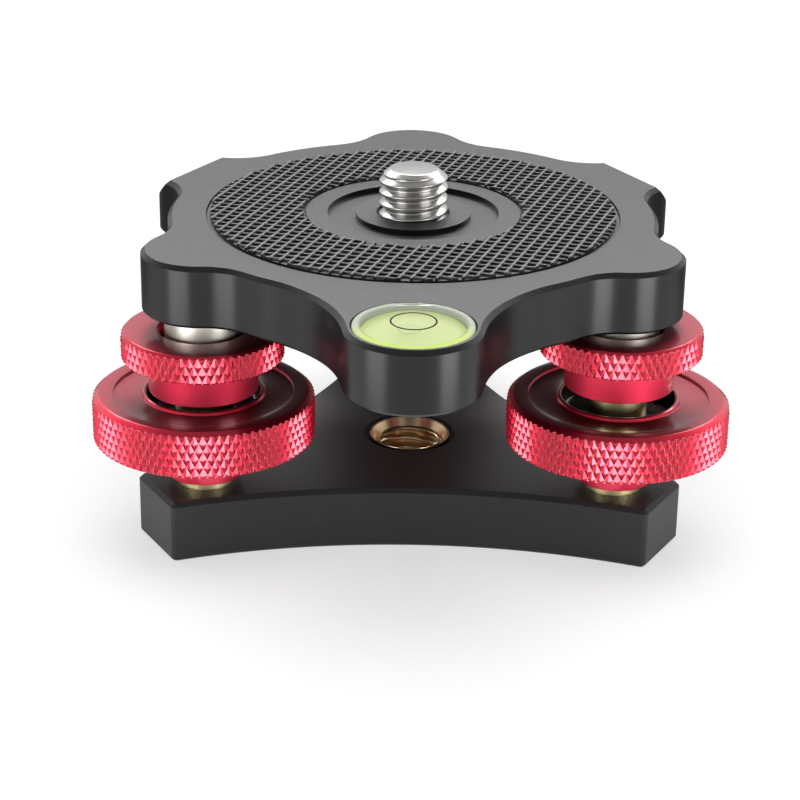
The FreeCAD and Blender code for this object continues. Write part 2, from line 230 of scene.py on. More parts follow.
# black anodised, finely blasted aluminium of both plates
blackPlate = {
    "shader": {"Metallic": 0.0, "IOR": 1.44},
    "dark": (0.006, 0.0063, 0.0066), "light": (0.009, 0.0094, 0.0098), "edge": (0.06, 0.06, 0.064),
    "edgeHighlight": 0.06, "edgeRadius": 0.12 * mm,
    "roughness": (0.42, 0.50), "levelShares": [(0.75, 0.95, 0.55, 1.0)],
    "grainScale": 5200.0, "grainDepth": 0.002 * mm, "markDensity": 9000.0, "markDepth": 0.0,
}
# painted light: the base's black anodising is painted several times lighter than the top plate's, making up
# for the shade it stands in
litBlackBase = dict(
    blackPlate, shader={"Metallic": 0.0, "IOR": 1.35}, roughness=(0.32, 0.40), levelShares=[],
    dark=(0.048, 0.050, 0.052), light=(0.054, 0.056, 0.058))
# crimson anodised, turned aluminium of the wheels
redWheel = {
    "shader": {"Metallic": 1.0, "Coat Weight": 0.8, "Coat Roughness": 0.14},
    "dark": (0.58, 0.008, 0.034), "light": (0.69, 0.014, 0.048), "edge": (1.0, 0.34, 0.40),
    "edgeHighlight": 0.5, "edgeRadius": 0.07 * mm, "roughness": (0.32, 0.40),
    "levelShares": [(0.04, 0.15, 1.3, 1.0), (0.8, 0.95, 1.0, 1.6)],
    "wallShading": (1.0, 0.055, 0.12), "levelShading": (0.18, 0.008, 0.018), "tintSpan": (0.8, 0.95),
    "mirrorShade": (0.06, 0.03, 0.03), "mirroredShare": 0.75,
    "grainScale": 6000.0, "grainDepth": 0.001 * mm, "markDensity": 5200.0, "markDepth": 0.0016 * mm,
}
# the large wheel's socket is painted dark inside, as shade
redSocket = dict(redWheel, hollow=7.75 * mm, hollowRise=(8.9 * mm, 9.1 * mm),
                 hollowShade=(0.02, 0.004, 0.006))
brass = {
    "shader": {"Metallic": 1.0},
    "dark": (0.84, 0.68, 0.34), "light": (0.94, 0.81, 0.46), "roughness": (0.38, 0.41),
    "grainScale": 3000.0, "grainDepth": 0.0001 * mm, "markDensity": 5000.0, "markDepth": 0.0003 * mm,
}
bronze = {
    "shader": {"Metallic": 1.0},
    "dark": (0.62, 0.44, 0.25), "light": (0.82, 0.59, 0.38), "roughness": (0.24, 0.26),
    "grainScale": 3000.0, "grainDepth": 0.0001 * mm, "markDensity": 3000.0, "markDepth": 0.0002 * mm,
}
steel = {
    "shader": {"Metallic": 1.0},
    "dark": (0.42, 0.41, 0.395), "light": (0.48, 0.47, 0.455), "roughness": (0.29, 0.31),
    "wallShading": (0.54, 0.53, 0.515), "levelShading": (0.27, 0.265, 0.26), "tintSpan": (0.9, 0.98),
    "grainScale": 3000.0, "grainDepth": 0.0, "markDensity": 1500.0, "markDepth": 0.0002 * mm,
}
springSteel = dict(steel, wallShading=(0.34, 0.34, 0.35), levelShading=(0.28, 0.28, 0.29))
nickel = {
    "shader": {"Metallic": 1.0},
    "dark": (0.86, 0.82, 0.73), "light": (0.95, 0.92, 0.84), "roughness": (0.40, 0.43),
    "grainScale": 4500.0, "grainDepth": 0.0003 * mm, "markDensity": 5500.0, "markDepth": 0.0006 * mm,
}
plastic = {
    "shader": {"Metallic": 0.0, "IOR": 1.5},
    "dark": (0.62, 0.61, 0.58), "light": (0.72, 0.71, 0.68), "edge": (0.8, 0.8, 0.78),
    "edgeHighlight": 0.2, "edgeRadius": 0.08 * mm, "roughness": (0.38, 0.48),
    "grainScale": 3000.0, "grainDepth": 0.002 * mm, "markDensity": 4000.0, "markDepth": 0.0,
}
# the rubber's grey is partly its own and partly painted light, standing in for the sheen on the rib tops
rubber = {
    "shader": {"Metallic": 0.0, "IOR": 1.46, "Sheen Weight": 0.06, "Sheen Roughness": 0.4},
    "deep": (42.46 * mm, 42.62 * mm), "shade": (0.001, 0.001, 0.001), "deepRoughness": 0.5,
    "dark": (0.068, 0.067, 0.064), "light": (0.098, 0.096, 0.092), "edge": (0.24, 0.24, 0.23),
    "edgeHighlight": 0.55, "edgeRadius": 0.06 * mm, "roughness": (0.42, 0.56),
    "grainScale": 4200.0, "grainDepth": 0.012 * mm, "markDensity": 3000.0, "markDepth": 0.0,
}
ringBlack = dict(plastic, shader={"Metallic": 0.0, "IOR": 1.06}, edgeHighlight=0.0,
                 dark=(0.004, 0.004, 0.004), light=(0.007, 0.007, 0.007))


plainSharp = 28.0  # edges that turn by more degrees than this stay sharp


def newMesh(bm, name, sharpDegrees=plainSharp):
    bmesh.ops.recalc_face_normals(bm, faces=bm.faces)
    mesh = bpy.data.meshes.new(name)
    bm.to_mesh(mesh)
    bm.free()
    for polygon in mesh.polygons:
        polygon.use_smooth = True
    mesh.set_sharp_from_angle(angle=math.radians(sharpDegrees))
    return mesh


def newObject(name, mesh, place=origin):
    piece = bpy.data.objects.new(name, mesh)
    piece.location = place
    bpy.context.scene.collection.objects.link(piece)
    return piece


def addPiece(name, mesh, place, body, nodes, material):
    piece = newObject(name, mesh, place)
    mesh.materials.clear()
    mesh.materials.append(material)
    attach(piece, body)
    if nodes:
        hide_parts(*nodes)


edgeShare = 0.4  # a round takes at most this share of the edge beside it
weldDistance = 0.0004 * mm  # points of a cut that lie closer are one


def around(radius, angle, height):
    return (radius * math.cos(angle) * mm, radius * math.sin(angle) * mm, height * mm)


def lathe(profile, steps):
    bm = bmesh.new()
    turn = [2.0 * math.pi * step / steps for step in range(steps)]
    rings = []
    for radius, height in profile:
        angles = turn if radius > 0.0 else [0.0]  # a point on the axis is shared by the whole turn
        rings.append([bm.verts.new(around(radius, angle, height)) for angle in angles])
    for index, ring in enumerate(rings):
        following = rings[(index + 1) % len(rings)]
        if len(ring) == 1 and len(following) == 1:
            continue
        for step in range(steps):
            after = (step + 1) % steps
            corners = [ring[step % len(ring)], ring[after % len(ring)],
                       following[after % len(following)], following[step % len(following)]]
            bm.faces.new(list(dict.fromkeys(corners)))
    return bm


# every corner off the axis becomes three points on a small round
def softened(profile, radius):
    result = []
    for index, corner in enumerate(profile):
        before, after = Vector(profile[index - 1]), Vector(profile[(index + 1) % len(profile)])
        here = Vector(corner)
        if here.x == 0.0:
            result.append(corner)
            continue
        reach = min(radius, edgeShare * (before - here).length, edgeShare * (after - here).length)
        start = here + (before - here).normalized() * reach
        end = here + (after - here).normalized() * reach
        middle = start * 0.25 + here * 0.5 + end * 0.25  # halfway along a quadratic curve
        result += [tuple(start), tuple(middle), tuple(end)]
    return result


def combine(base, tool, operation):
    change = base.modifiers.new("combine", "BOOLEAN")
    change.operation, change.solver, change.object = operation, "EXACT", tool
    graph = bpy.context.evaluated_depsgraph_get()
    result = bpy.data.meshes.new_from_object(base.evaluated_get(graph))
    base.modifiers.clear()
    base.data = result
    bpy.data.objects.remove(tool)
    return base


def finishedMesh(base, name, sharpDegrees=plainSharp):
    bm = bmesh.new()
    bm.from_mesh(base.data)
    bpy.data.objects.remove(base)
    bmesh.ops.remove_doubles(bm, verts=bm.verts, dist=weldDistance)
    return newMesh(bm, name, sharpDegrees)


# column of pyramids: every second point of each row lies deeper
def knurledColumn(look, bottom, top):
    rowHeight = look["diamondHeight"] / 2.0
    firstRow = look["bandTop"] - look["firstRow"]
    above = math.ceil((top - firstRow) / rowHeight)
    below = math.ceil((firstRow - bottom) / rowHeight)
    columns = 2 * look["diamonds"]
    bm = bmesh.new()
    grid = []
    for row in range(-below, above + 1):
        ring = []
        for column in range(columns):
            low = (column + row) % 2 == 1
            radius = look["rim"] - (look["diamondDepth"] if low else 0.0)
            angle = 2.0 * math.pi * column / columns
            ring.append(bm.verts.new(around(radius, angle, firstRow + row * rowHeight)))
        grid.append(ring)
    for index in range(len(grid) - 1):
        row = index - below
        for column in range(columns):
            after = (column + 1) % columns
            first, second = grid[index][column], grid[index][after]
            third, fourth = grid[index + 1][after], grid[index + 1][column]
            if (column + row) % 2 == 1:  # the valleys join two low points
                bm.faces.new((first, second, third))
                bm.faces.new((first, third, fourth))
            else:
                bm.faces.new((first, second, fourth))
                bm.faces.new((second, third, fourth))
    for ring in (grid[0], grid[-1]):
        centre = bm.verts.new((0.0, 0.0, ring[0].co.z))
        for column in range(columns):
            bm.faces.new((ring[column], ring[(column + 1) % columns], centre))
    return bm


# one pitch of the thread from root to root, rounded between its neighbours
def threadOutline(look):
    pitch, crest, root = look["pitch"], look["crest"], look["root"]
    rootEnd = pitch * look["rootFlat"]
    flank = (pitch * (1.0 - look["crestFlat"] - look["rootFlat"])) / 2.0
    ridge = [(root, 0.0), (root, rootEnd), (crest, rootEnd + flank), (crest, pitch - flank)]
    below = [(radius, height - pitch) for radius, height in ridge]
    above = [(radius, height + pitch) for radius, height in ridge]
    rounded = softened(below + ridge + above, look["rounding"])
    return rounded[len(rounded) // 3:2 * len(rounded) // 3]


def threadedColumn(look, bottom, top):
    outline, pitch = threadOutline(look), look["pitch"]
    rows = len(outline)
    turns = int(math.ceil((top - bottom) / pitch)) + 2
    bm = bmesh.new()
    columns = []
    for step in range(threadSteps):
        share = step / threadSteps
        column = []
        for row in range(rows * turns):
            radius, rise = outline[row % rows]
            height = bottom + pitch * (share + row // rows - 1) + rise
            column.append(bm.verts.new(around(radius, 2.0 * math.pi * share, height)))
        columns.append(column)
    for step in range(threadSteps):
        here = columns[step]
        last = step == threadSteps - 1  # after a full turn the thread is one pitch higher
        after = columns[0][rows:] if last else columns[step + 1]
        for row in range(len(after) - 1):
            bm.faces.new((here[row], after[row], after[row + 1], here[row + 1]))
    lower = [column[0] for column in columns] + [columns[0][row] for row in range(rows, 0, -1)]
    upper = [column[-1] for column in columns] + [columns[-1][-row] for row in range(2, rows + 2)]
    for loop in (lower, upper):
        centre = bm.verts.new((0.0, 0.0, sum(v.co.z for v in loop) / len(loop)))
        for index, vertex in enumerate(loop):
            bm.faces.new((vertex, loop[(index + 1) % len(loop)], centre))
    return bm


def scratchObject(bm):
    return newObject("scratch", newMesh(bm, "scratch"))


# large wheel, heights from the lower end of its boss, in mm
heightWheel = {
    "rim": 15.144, "boss": 5.3, "bore": 3.9, "bossTop": 5.6, "bandTop": 11.2, "top": 12.0,
    "bevel": 0.95, "edgeBreak": 0.25, "dish": 12.2, "dishFloor": 11.6,
    "socket": 7.7, "bead": 0.70, "beadRise": 0.46, "socketFloor": 9.5,
    "beadCurve": [(1.0, 0.0), (0.76, 0.76), (0.46, 1.0), (0.16, 0.94), (0.0, 0.66)],
    "diamonds": 84, "diamondHeight": 2.24, "diamondDepth": 0.36, "firstRow": 0.77, "rounding": 0.06,
}
# small wheel, heights from the lower end of its hub, in mm
lockWheel = {
    "rim": 11.046, "hub": 7.45, "hubEdge": 0.06, "bore": 3.95, "hubTop": 4.75, "bandTop": 7.9, "top": 8.55,
    "bevel": 0.6, "edgeBreak": 0.25, "recess": 5.8, "recessBevel": 0.3, "recessFloor": 4.2,
    "diamonds": 61, "diamondHeight": 2.24, "diamondDepth": 0.34, "firstRow": 0.7, "rounding": 0.05,
}
wheelSteps = 192
wheelExcess = 0.1  # the turned blank stands out this far past the knurl that cuts it, in mm
columnBelow, columnAbove = 1.0, 1.5  # the knurled column's ends past the wheel, in mm


# the blank's rim from the lower edge break to the upper bevel
def rimOutline(look, floor):
    outer, excess = look["rim"], wheelExcess
    slope = (look["top"] - look["bandTop"]) / look["bevel"]
    return [
        (outer - look["edgeBreak"], floor), (outer + excess, floor + look["edgeBreak"] + excess),
        (outer + excess, look["bandTop"] - excess * slope), (outer - look["bevel"], look["top"]),
    ]


def knurledWheel(look, profile, name):
    body = scratchObject(lathe(softened(profile, look["rounding"]), wheelSteps))
    column = scratchObject(knurledColumn(look, -columnBelow, look["top"] + columnAbove))
    return finishedMesh(combine(body, column, "INTERSECT"), name)


def heightWheelMesh(look):
    boss = [(look["bore"], 0.0), (look["boss"], 0.0), (look["boss"], look["bossTop"])]
    dish = [(look["dish"], look["top"]), (look["dish"], look["dishFloor"])]
    bead = [(look["socket"] + across * look["bead"], look["dishFloor"] + rise * look["beadRise"])
            for across, rise in look["beadCurve"]]
    socket = [(look["socket"], look["socketFloor"]), (look["bore"], look["socketFloor"])]
    profile = boss + rimOutline(look, look["bossTop"]) + dish + bead + socket
    return knurledWheel(look, profile, "heightWheel")


def lockWheelMesh(look):
    hub = [(look["bore"], 0.0), (look["hub"] - look["hubEdge"], 0.0), (look["hub"], look["hubEdge"]),
           (look["hub"], look["hubTop"])]
    recess = [(look["recess"] + look["recessBevel"], look["top"]),
              (look["recess"], look["top"] - look["recessBevel"]),
              (look["recess"], look["recessFloor"]), (look["bore"], look["recessFloor"])]
    return knurledWheel(look, hub + rimOutline(look, look["hubTop"]) + recess, "lockWheel")


def axisOf(node):
    low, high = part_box(node)
    return Vector(((low.x + high.x) / 2.0, (low.y + high.y) / 2.0, low.z))


redFinish, socketFinish = finish("crimsonAnodised", redWheel), finish("crimsonSocket", redSocket)
bigMesh, smallMesh = heightWheelMesh(heightWheel), lockWheelMesh(lockWheel)
for side in sides:
    bigNode, smallNode = "height_wheel_" + side, "lock_wheel_" + side
    addPiece("heightWheel_" + side, bigMesh.copy(), axisOf(bigNode), "adjuster_" + side,
             [bigNode], socketFinish)
    addPiece("lockWheel_" + side, smallMesh.copy(), axisOf(smallNode), "lock_" + side,
             [smallNode], redFinish)
print("wheels:", len(bigMesh.polygons), "and", len(smallMesh.polygons), "faces")

# camera screw, in mm above the base's underside
cameraScrew = {
    "bottom": 33.7, "headTop": 36.3, "head": 7.5, "headRounding": 0.12, "hexFlats": 6.0, "hexDepth": 1.9,
    "shank": 5.1, "shankTop": 41.5, "threadEnd": 41.2, "threadStart": 40.2,
    "top": 48.5, "tip": 3.3, "tipRounding": 0.08, "bevelHeight": 1.2,
    "pitch": 1.5875, "crest": 4.7625, "root": 3.92, "crestFlat": 0.15, "rootFlat": 0.2, "rounding": 0.12,
}
# bronze insert in the base plate, in mm
threadInsert = {
    "outer": 5.7, "outerRounding": 0.06, "top": 8.6, "rim": 0.3, "mouth": 1.1, "mouthAbove": 1.0,
    "threadStart": -2.58,
    "pitch": 1.5875, "crest": 4.8, "root": 4.05, "crestFlat": 0.2, "rootFlat": 0.2, "rounding": 0.14,
}
turnedSteps, threadSteps = 144, 96
threadAbove = 2.0  # the threaded column's end past the top of its piece, in mm
threadSharp = 35.0  # the rounded crests and roots are smooth


def cameraScrewMesh(look):
    tip = [(0.0, look["threadEnd"]), (look["crest"], look["threadEnd"]),
           (look["crest"], look["top"] - look["bevelHeight"]),
           (look["tip"], look["top"]), (0.0, look["top"])]
    head = [(0.0, look["bottom"]), (look["head"], look["bottom"]), (look["head"], look["headTop"]),
            (look["shank"], look["headTop"]), (look["shank"], look["shankTop"]), (0.0, look["shankTop"])]
    upper = scratchObject(lathe(softened(tip, look["tipRounding"]), turnedSteps))
    thread = scratchObject(threadedColumn(look, look["threadStart"], look["top"] + threadAbove))
    upper = combine(upper, thread, "INTERSECT")
    lower = scratchObject(lathe(softened(head, look["headRounding"]), turnedSteps))
    hexagon = bmesh.new()
    corner = look["hexFlats"] / math.sqrt(3.0)
    bmesh.ops.create_cone(hexagon, cap_ends=True, segments=6, radius1=corner * mm, radius2=corner * mm,
                          depth=2.0 * look["hexDepth"] * mm,
                          matrix=Matrix.Translation((0.0, 0.0, look["bottom"] * mm)))
    lower = combine(lower, scratchObject(hexagon), "DIFFERENCE")
    return finishedMesh(combine(lower, upper, "UNION"), "cameraScrew", threadSharp)


def threadInsertMesh(look):
    outside = [(0.0, 0.0), (look["outer"], 0.0), (look["outer"], look["top"]), (0.0, look["top"])]
    mouthFloor, mouthTop = look["top"] - look["mouth"], look["top"] + look["mouthAbove"]
    mouthRadius = look["outer"] - look["rim"]
    cone = [(0.0, mouthFloor), (look["crest"], mouthFloor), (mouthRadius, look["top"]),
            (mouthRadius, mouthTop), (0.0, mouthTop)]
    body = scratchObject(lathe(softened(outside, look["outerRounding"]), turnedSteps))
    thread = scratchObject(threadedColumn(look, look["threadStart"], look["top"] + threadAbove))
    body = combine(body, thread, "DIFFERENCE")
    body = combine(body, scratchObject(lathe(cone, turnedSteps)), "DIFFERENCE")
    return finishedMesh(body, "threadInsert", threadSharp)


addPiece("cameraScrew", cameraScrewMesh(cameraScrew), origin, "plate",
         ["camera_screw"], finish("stainlessSteel", steel))
addPiece("threadInsert", threadInsertMesh(threadInsert), origin, "base",
         ["tripod_thread_insert"], finish("bronze", bronze))
print("threads cut")

# ribbed rubber ring: pits between long ribs and lower cross ribs, in mm and degrees
ribbedPad = {
    "outer": 28.6, "inner": 15.0, "step": 0.5, "rim": 0.3, "pitch": 1.51, "pit": 1.25, "pitCorner": 0.14,
    "pitDepth": 0.42, "crossDrop": 0.10, "stepDrop": 0.8, "floorShare": 0.84, "rimMargin": 0.01,
    "gridAngle": 70.5, "steps": 240, "tolerance": 1e-5,
}


# eight corners, counterclockwise from the lower end of the side that faces the next pit
def pitOutline(look):
    half = look["pit"] / 2.0
    cut = half - look["pitCorner"]
    return [(half, -cut), (half, cut), (cut, half), (-cut, half),
            (-half, cut), (-half, -cut), (-cut, -half), (cut, -half)]


# the pad seen from above: its circles, its pits and the cross ribs between neighbouring pits
def padPlan(look):
    turn = Matrix.Rotation(math.radians(look["gridAngle"]), 2)
    outline = pitOutline(look)
    points, edges, pits, centres, starts = [], [], [], [], {}
    for radius in (look["outer"], look["outer"] - look["step"], look["inner"] + look["rim"], look["inner"]):
        start = len(points)
        for step in range(look["steps"]):
            angle = 2.0 * math.pi * step / look["steps"]
            points.append(Vector((radius * math.cos(angle), radius * math.sin(angle))))
            edges.append((start + step, start + (step + 1) % look["steps"]))
    count = int(look["outer"] / look["pitch"]) + 2
    for column in range(-count, count + 1):
        for row in range(-count, count + 1):
            spot = Vector(((column + 0.5) * look["pitch"], (row + 0.5) * look["pitch"]))
            if not look["inner"] - look["pitch"] < spot.length < look["outer"] + look["pitch"]:
                continue
            starts[column, row] = len(points)
            pits.append(list(range(len(points), len(points) + len(outline))))
            centres.append(turn @ spot)
            points += [turn @ (spot + Vector(offset)) for offset in outline]
    crosses = []
    for column, row in starts:
        if (column + 1, row) in starts:  # corners 0 and 1 of a pit face 5 and 4 of the next
            start, following = starts[column, row], starts[column + 1, row]
            crosses.append([start, following + 5, following + 4, start + 1])
    return points, edges, pits, crosses, centres


# triangles of the plan with the level on which each lies, and the pit to which a point belongs
def padTriangles(look, spots, triangles, shapes, pitCount):
    flat = math.cos(math.pi / look["steps"])  # share of the radius at the middle of a circle's side
    outerStep, innerStep = (look["outer"] - look["step"]) * flat, look["inner"] + look["rim"]
    kept, present, pitOf = [], {}, {}
    for triangle, shape in zip(triangles, shapes):
        distance = (sum((spots[index] for index in triangle), Vector((0.0, 0.0))) / 3.0).length
        if not look["inner"] < distance < look["outer"] * flat:
            continue
        if distance > outerStep or distance < innerStep:
            level = "step"
        elif not shape:
            level = "top"
        else:
            level = "floor" if shape[0] < pitCount else "cross"
        kept.append((triangle, level))
        for index in triangle:
            present.setdefault(index, set()).update((level, "bottom"))
            if level == "floor":
                pitOf[index] = shape[0]
    return kept, present, pitOf


def ribbedPadMesh(look):
    low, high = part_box("camera_pad")
    levels = {
        "top": high.z, "cross": high.z - look["crossDrop"] * mm, "floor": high.z - look["pitDepth"] * mm,
        "step": high.z - look["stepDrop"] * mm, "bottom": low.z,
    }
    order = list(levels)
    points, edges, pits, crosses, centres = padPlan(look)
    plan = delaunay_2d_cdt(points, edges, pits + crosses, 0, look["tolerance"])
    spots, triangles, shapes = plan[0], plan[2], plan[5]
    kept, present, pitOf = padTriangles(look, spots, triangles, shapes, len(pits))
    nearest = look["inner"] + look["rim"] + look["rimMargin"]
    furthest = look["outer"] - look["step"] - look["rimMargin"]
    bm = bmesh.new()
    made = {}

    def corner(index, level):
        if (index, level) not in made:
            spot = spots[index]
            if level == "floor" and nearest < spot.length < furthest:  # a pit narrows towards its floor
                centre = centres[pitOf[index]]
                spot = centre + (spot - centre) * look["floorShare"]
            made[index, level] = bm.verts.new((spot.x * mm, spot.y * mm, levels[level]))
        return made[index, level]

    def between(index, upper, lower):
        span = order[order.index(upper):order.index(lower) + 1]
        return [corner(index, level) for level in span if level in present[index]]

    borders = {}
    for triangle, level in kept:
        bm.faces.new([corner(index, level) for index in triangle])
        bm.faces.new([corner(index, "bottom") for index in reversed(triangle)])
        for first, second in zip(triangle, list(triangle[1:]) + [triangle[0]]):
            borders.setdefault(frozenset((first, second)), []).append((first, second, level))
    for uses in borders.values():  # a wall stands wherever the level changes and at the outline
        first, second = uses[0][:2]
        met = {use[2] for use in uses} | ({"bottom"} if len(uses) == 1 else set())
        found = sorted(met, key=order.index)
        if len(found) == 2:
            bm.faces.new(between(first, *found) + between(second, *found)[::-1])
    return newMesh(bm, "ribbedPad")


addPiece("ribbedPad", ribbedPadMesh(ribbedPad), origin, "plate",
         ["camera_pad"], finish("ribbedRubber", rubber))
print("pad pressed")

# bubble level, in mm; heights above the base's underside
bubbleLevel = {
    "outer": 7.56, "bottom": 35.6, "rim": 42.3, "crown": 0.48, "cavity": 6.3,
    "floor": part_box("level_vial_plug")[1].z / mm, "bond": 0.02,
    "domeInset": 0.1, "shoulderDrop": 0.25, "shoulderInset": 0.03, "rimDrop": 0.1,
    "domeSteps": 14, "lensSharp": 35.0,
    "ceiling": 41.1, "bubble": 1.6, "bubbleSink": 0.5, "bubbleFlat": 0.9, "bubbleX": -0.5, "bubbleY": -1.1,
    "bubbleRows": 12, "bubbleSteps": 48, "bubbleSharp": 60.0,
    "cupInner": 6.45, "cupOuter": 7.46, "cupTop": 42.0, "cupBevel": 0.3, "cupBottom": 35.75,
    "cupRounding": 0.1, "steps": 128,
}
# colours and surfaces of the bubble level
bubbleLook = {
    "lens": (0.97, 1.0, 0.93), "lensPass": (0.95, 1.0, 0.85),
    "lensGrain": 900.0, "lensRoughness": (0.0, 0.02),
    "lime": (0.50, 0.64, 0.06), "paleLime": (0.54, 0.59, 0.24), "glow": 0.09,
    "limeStart": 0.88, "limeShare": 0.7, "limeGrain": 2500.0, "limeRoughness": (0.4, 0.55),
    "cupRear": (0.36, 0.38, 0.36), "cupFront": (0.50, 0.64, 0.07), "cupGlow": 0.12,
    "cupSpan": (-0.6, 0.1), "cupGrain": 1500.0, "cupRoughness": (0.35, 0.5),
    "bubbleTint": (0.50, 0.62, 0.40), "bubbleFacing": (0.4, 1.0), "bubbleAlpha": (0.06, 0.6),
    "bubbleGrain": 900.0, "bubbleRoughness": (0.05, 0.12),
}


def clearLensMesh(look):
    domeRadius = (look["outer"] ** 2 + look["crown"] ** 2) / (2.0 * look["crown"])
    domeCentre = look["rim"] + look["crown"] - domeRadius
    dome = []
    for step in range(look["domeSteps"] + 1):
        radius = (look["outer"] - look["domeInset"]) * (1.0 - step / look["domeSteps"])
        dome.append((radius, domeCentre + math.sqrt(domeRadius ** 2 - radius ** 2)))
    inner, floor = look["cavity"] - look["bond"], look["floor"] - look["bond"]
    profile = [(0.0, floor), (inner, floor), (inner, look["bottom"]),
               (look["outer"], look["bottom"]), (look["outer"], look["rim"] - look["shoulderDrop"]),
               (look["outer"] - look["shoulderInset"], look["rim"] - look["rimDrop"])] + dome
    return newMesh(lathe(profile, look["steps"]), "clearLens", look["lensSharp"])


def vialCupMesh(look):
    inner, outer, top = look["cupInner"], look["cupOuter"], look["cupTop"]
    bottom, bevel = look["cupBottom"], look["cupBevel"]
    profile = [(inner, bottom), (outer - bevel, bottom), (outer, bottom + bevel), (outer, top),
               (inner + bevel, top), (inner, top - bevel)]
    return newMesh(lathe(softened(profile, look["cupRounding"]), look["steps"]), "vialCup")


def airBubbleMesh(look):
    centre = look["ceiling"] + look["bubbleSink"]
    reach = math.sqrt(look["bubble"] ** 2 - look["bubbleSink"] ** 2)
    radii = [reach * (1.0 - row / look["bubbleRows"]) for row in range(look["bubbleRows"] + 1)]
    arc = [(radius, centre - math.sqrt(look["bubble"] ** 2 - radius ** 2)) for radius in radii]
    profile = [(0.0, look["ceiling"]), (look["bubbleFlat"] * reach, look["ceiling"])] + arc
    return newMesh(lathe(profile, look["bubbleSteps"]), "airBubble", look["bubbleSharp"])


# clear acrylic that lets light through to the lime floor
def clearFinish(look):
    material, tree, shader = newMaterial("clearAcrylic", {
        "Metallic": 0.0, "Transmission Weight": 1.0, "IOR": 1.47, "Base Color": opaque(look["lens"])})
    rough = grainRoughness(tree, shifted(tree, origin), look["lensGrain"], look["lensRoughness"])
    fillSockets(tree, shader, {"Roughness": rough})
    path = addNode(tree, "ShaderNodeLightPath").outputs
    through = addNode(tree, "ShaderNodeBsdfTransparent", {"Color": opaque(look["lensPass"])})
    blend = addNode(tree, "ShaderNodeMixShader", {
        0: calc(tree, "MAXIMUM", path["Is Shadow Ray"], path["Is Diffuse Ray"]),
        1: shader.outputs[0], 2: through.outputs[0]})
    output = next(node for node in tree.nodes if node.type == "OUTPUT_MATERIAL")
    fillSockets(tree, output, {"Surface": blend.outputs[0]})
    return material


# the lime deepens towards the floor's rim
def limeFinish(look, cavity, centre):
    # painted light: the floor glows faintly in its own lime, as if lit through the lens
    material, tree, shader = newMaterial("limeFloor", {
        "Metallic": 0.0, "IOR": 1.49, "Emission Strength": look["glow"]})
    place = shifted(tree, centre)
    radius = radiusOf(tree, axesOf(tree, place))
    rim = remap(tree, radius, cavity * look["limeStart"] * mm, cavity * mm, 0.0, look["limeShare"])
    colour = mixColour(tree, rim, opaque(look["paleLime"]), opaque(look["lime"]))
    fillSockets(tree, shader, {
        "Base Color": colour, "Emission Color": colour,
        "Roughness": grainRoughness(tree, place, look["limeGrain"], look["limeRoughness"])})
    return material


# painted light: the cup's wall is painted lime towards its front edge and glows faintly, standing in for
# the floor's lime light carried through the clear wall
def cupFinish(look, outer):
    material, tree, shader = newMaterial("limeLitCup", {
        "Metallic": 0.0, "IOR": 1.45, "Emission Strength": look["cupGlow"]})
    place = shifted(tree, origin)
    front, rear = look["cupSpan"]
    share = remap(tree, axesOf(tree, place)[1], front * outer * mm, rear * outer * mm)
    colour = mixColour(tree, share, opaque(look["cupFront"]), opaque(look["cupRear"]))
    fillSockets(tree, shader, {
        "Base Color": colour, "Emission Color": colour,
        "Roughness": grainRoughness(tree, place, look["cupGrain"], look["cupRoughness"])})
    return material


def bubbleFinish(look):
    material, tree, shader = newMaterial("airBubble", {
        "Metallic": 0.0, "IOR": 1.2, "Base Color": opaque(look["bubbleTint"])})
    place = shifted(tree, origin)
    facing = addNode(tree, "ShaderNodeLayerWeight", {"Blend": 0.5}).outputs["Facing"]
    fillSockets(tree, shader, {
        "Alpha": remap(tree, facing, *look["bubbleFacing"], *look["bubbleAlpha"]),
        "Roughness": grainRoughness(tree, place, look["bubbleGrain"], look["bubbleRoughness"])})
    return material


vialAxis = axisOf("level_vial_body")
vialPlace = Vector((vialAxis.x, vialAxis.y, 0.0))
bubblePlace = vialPlace + Vector((bubbleLevel["bubbleX"], bubbleLevel["bubbleY"], 0.0)) * mm
addPiece("clearLens", clearLensMesh(bubbleLevel), vialPlace, "plate",
         ["level_liquid"], clearFinish(bubbleLook))
addPiece("vialCup", vialCupMesh(bubbleLevel), vialPlace, "plate",
         ["level_vial_body"], cupFinish(bubbleLook, bubbleLevel["cupOuter"]))
addPiece("airBubble", airBubbleMesh(bubbleLevel), bubblePlace, "plate",
         [], bubbleFinish(bubbleLook))
print("bubble level made")


def dress(node, material):
    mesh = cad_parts[node].data
    mesh.materials.clear()
    mesh.materials.append(material)


dress("base_plate", finish("litBlackBase", litBlackBase))
dress("top_plate", finish("blackTop", blackPlate))
dress("level_vial_plug", limeFinish(bubbleLook, bubbleLevel["cavity"], tuple(vialPlace)))
dress("level_sight_ring", finish("blackRing", ringBlack))
shared = {
    "retaining_clip_": finish("springSteel", springSteel),
    "friction_washer_": finish("whiteNylon", plastic),
    "upper_ball_seat_": finish("paleAcetal", plastic),
    "lower_ball_seat_": finish("paleAcetalLower", plastic),
}
for side in sides:
    axis = axisOf("spindle_" + side)
    centre = (axis.x, axis.y, 0.0)
    dress("spindle_" + side, finish("brass_" + side, brass, centre))
    dress("ball_collar_" + side, finish("nickel_" + side, nickel, centre))
    for prefix, material in shared.items():
        dress(prefix + side, material)
print("materials set")

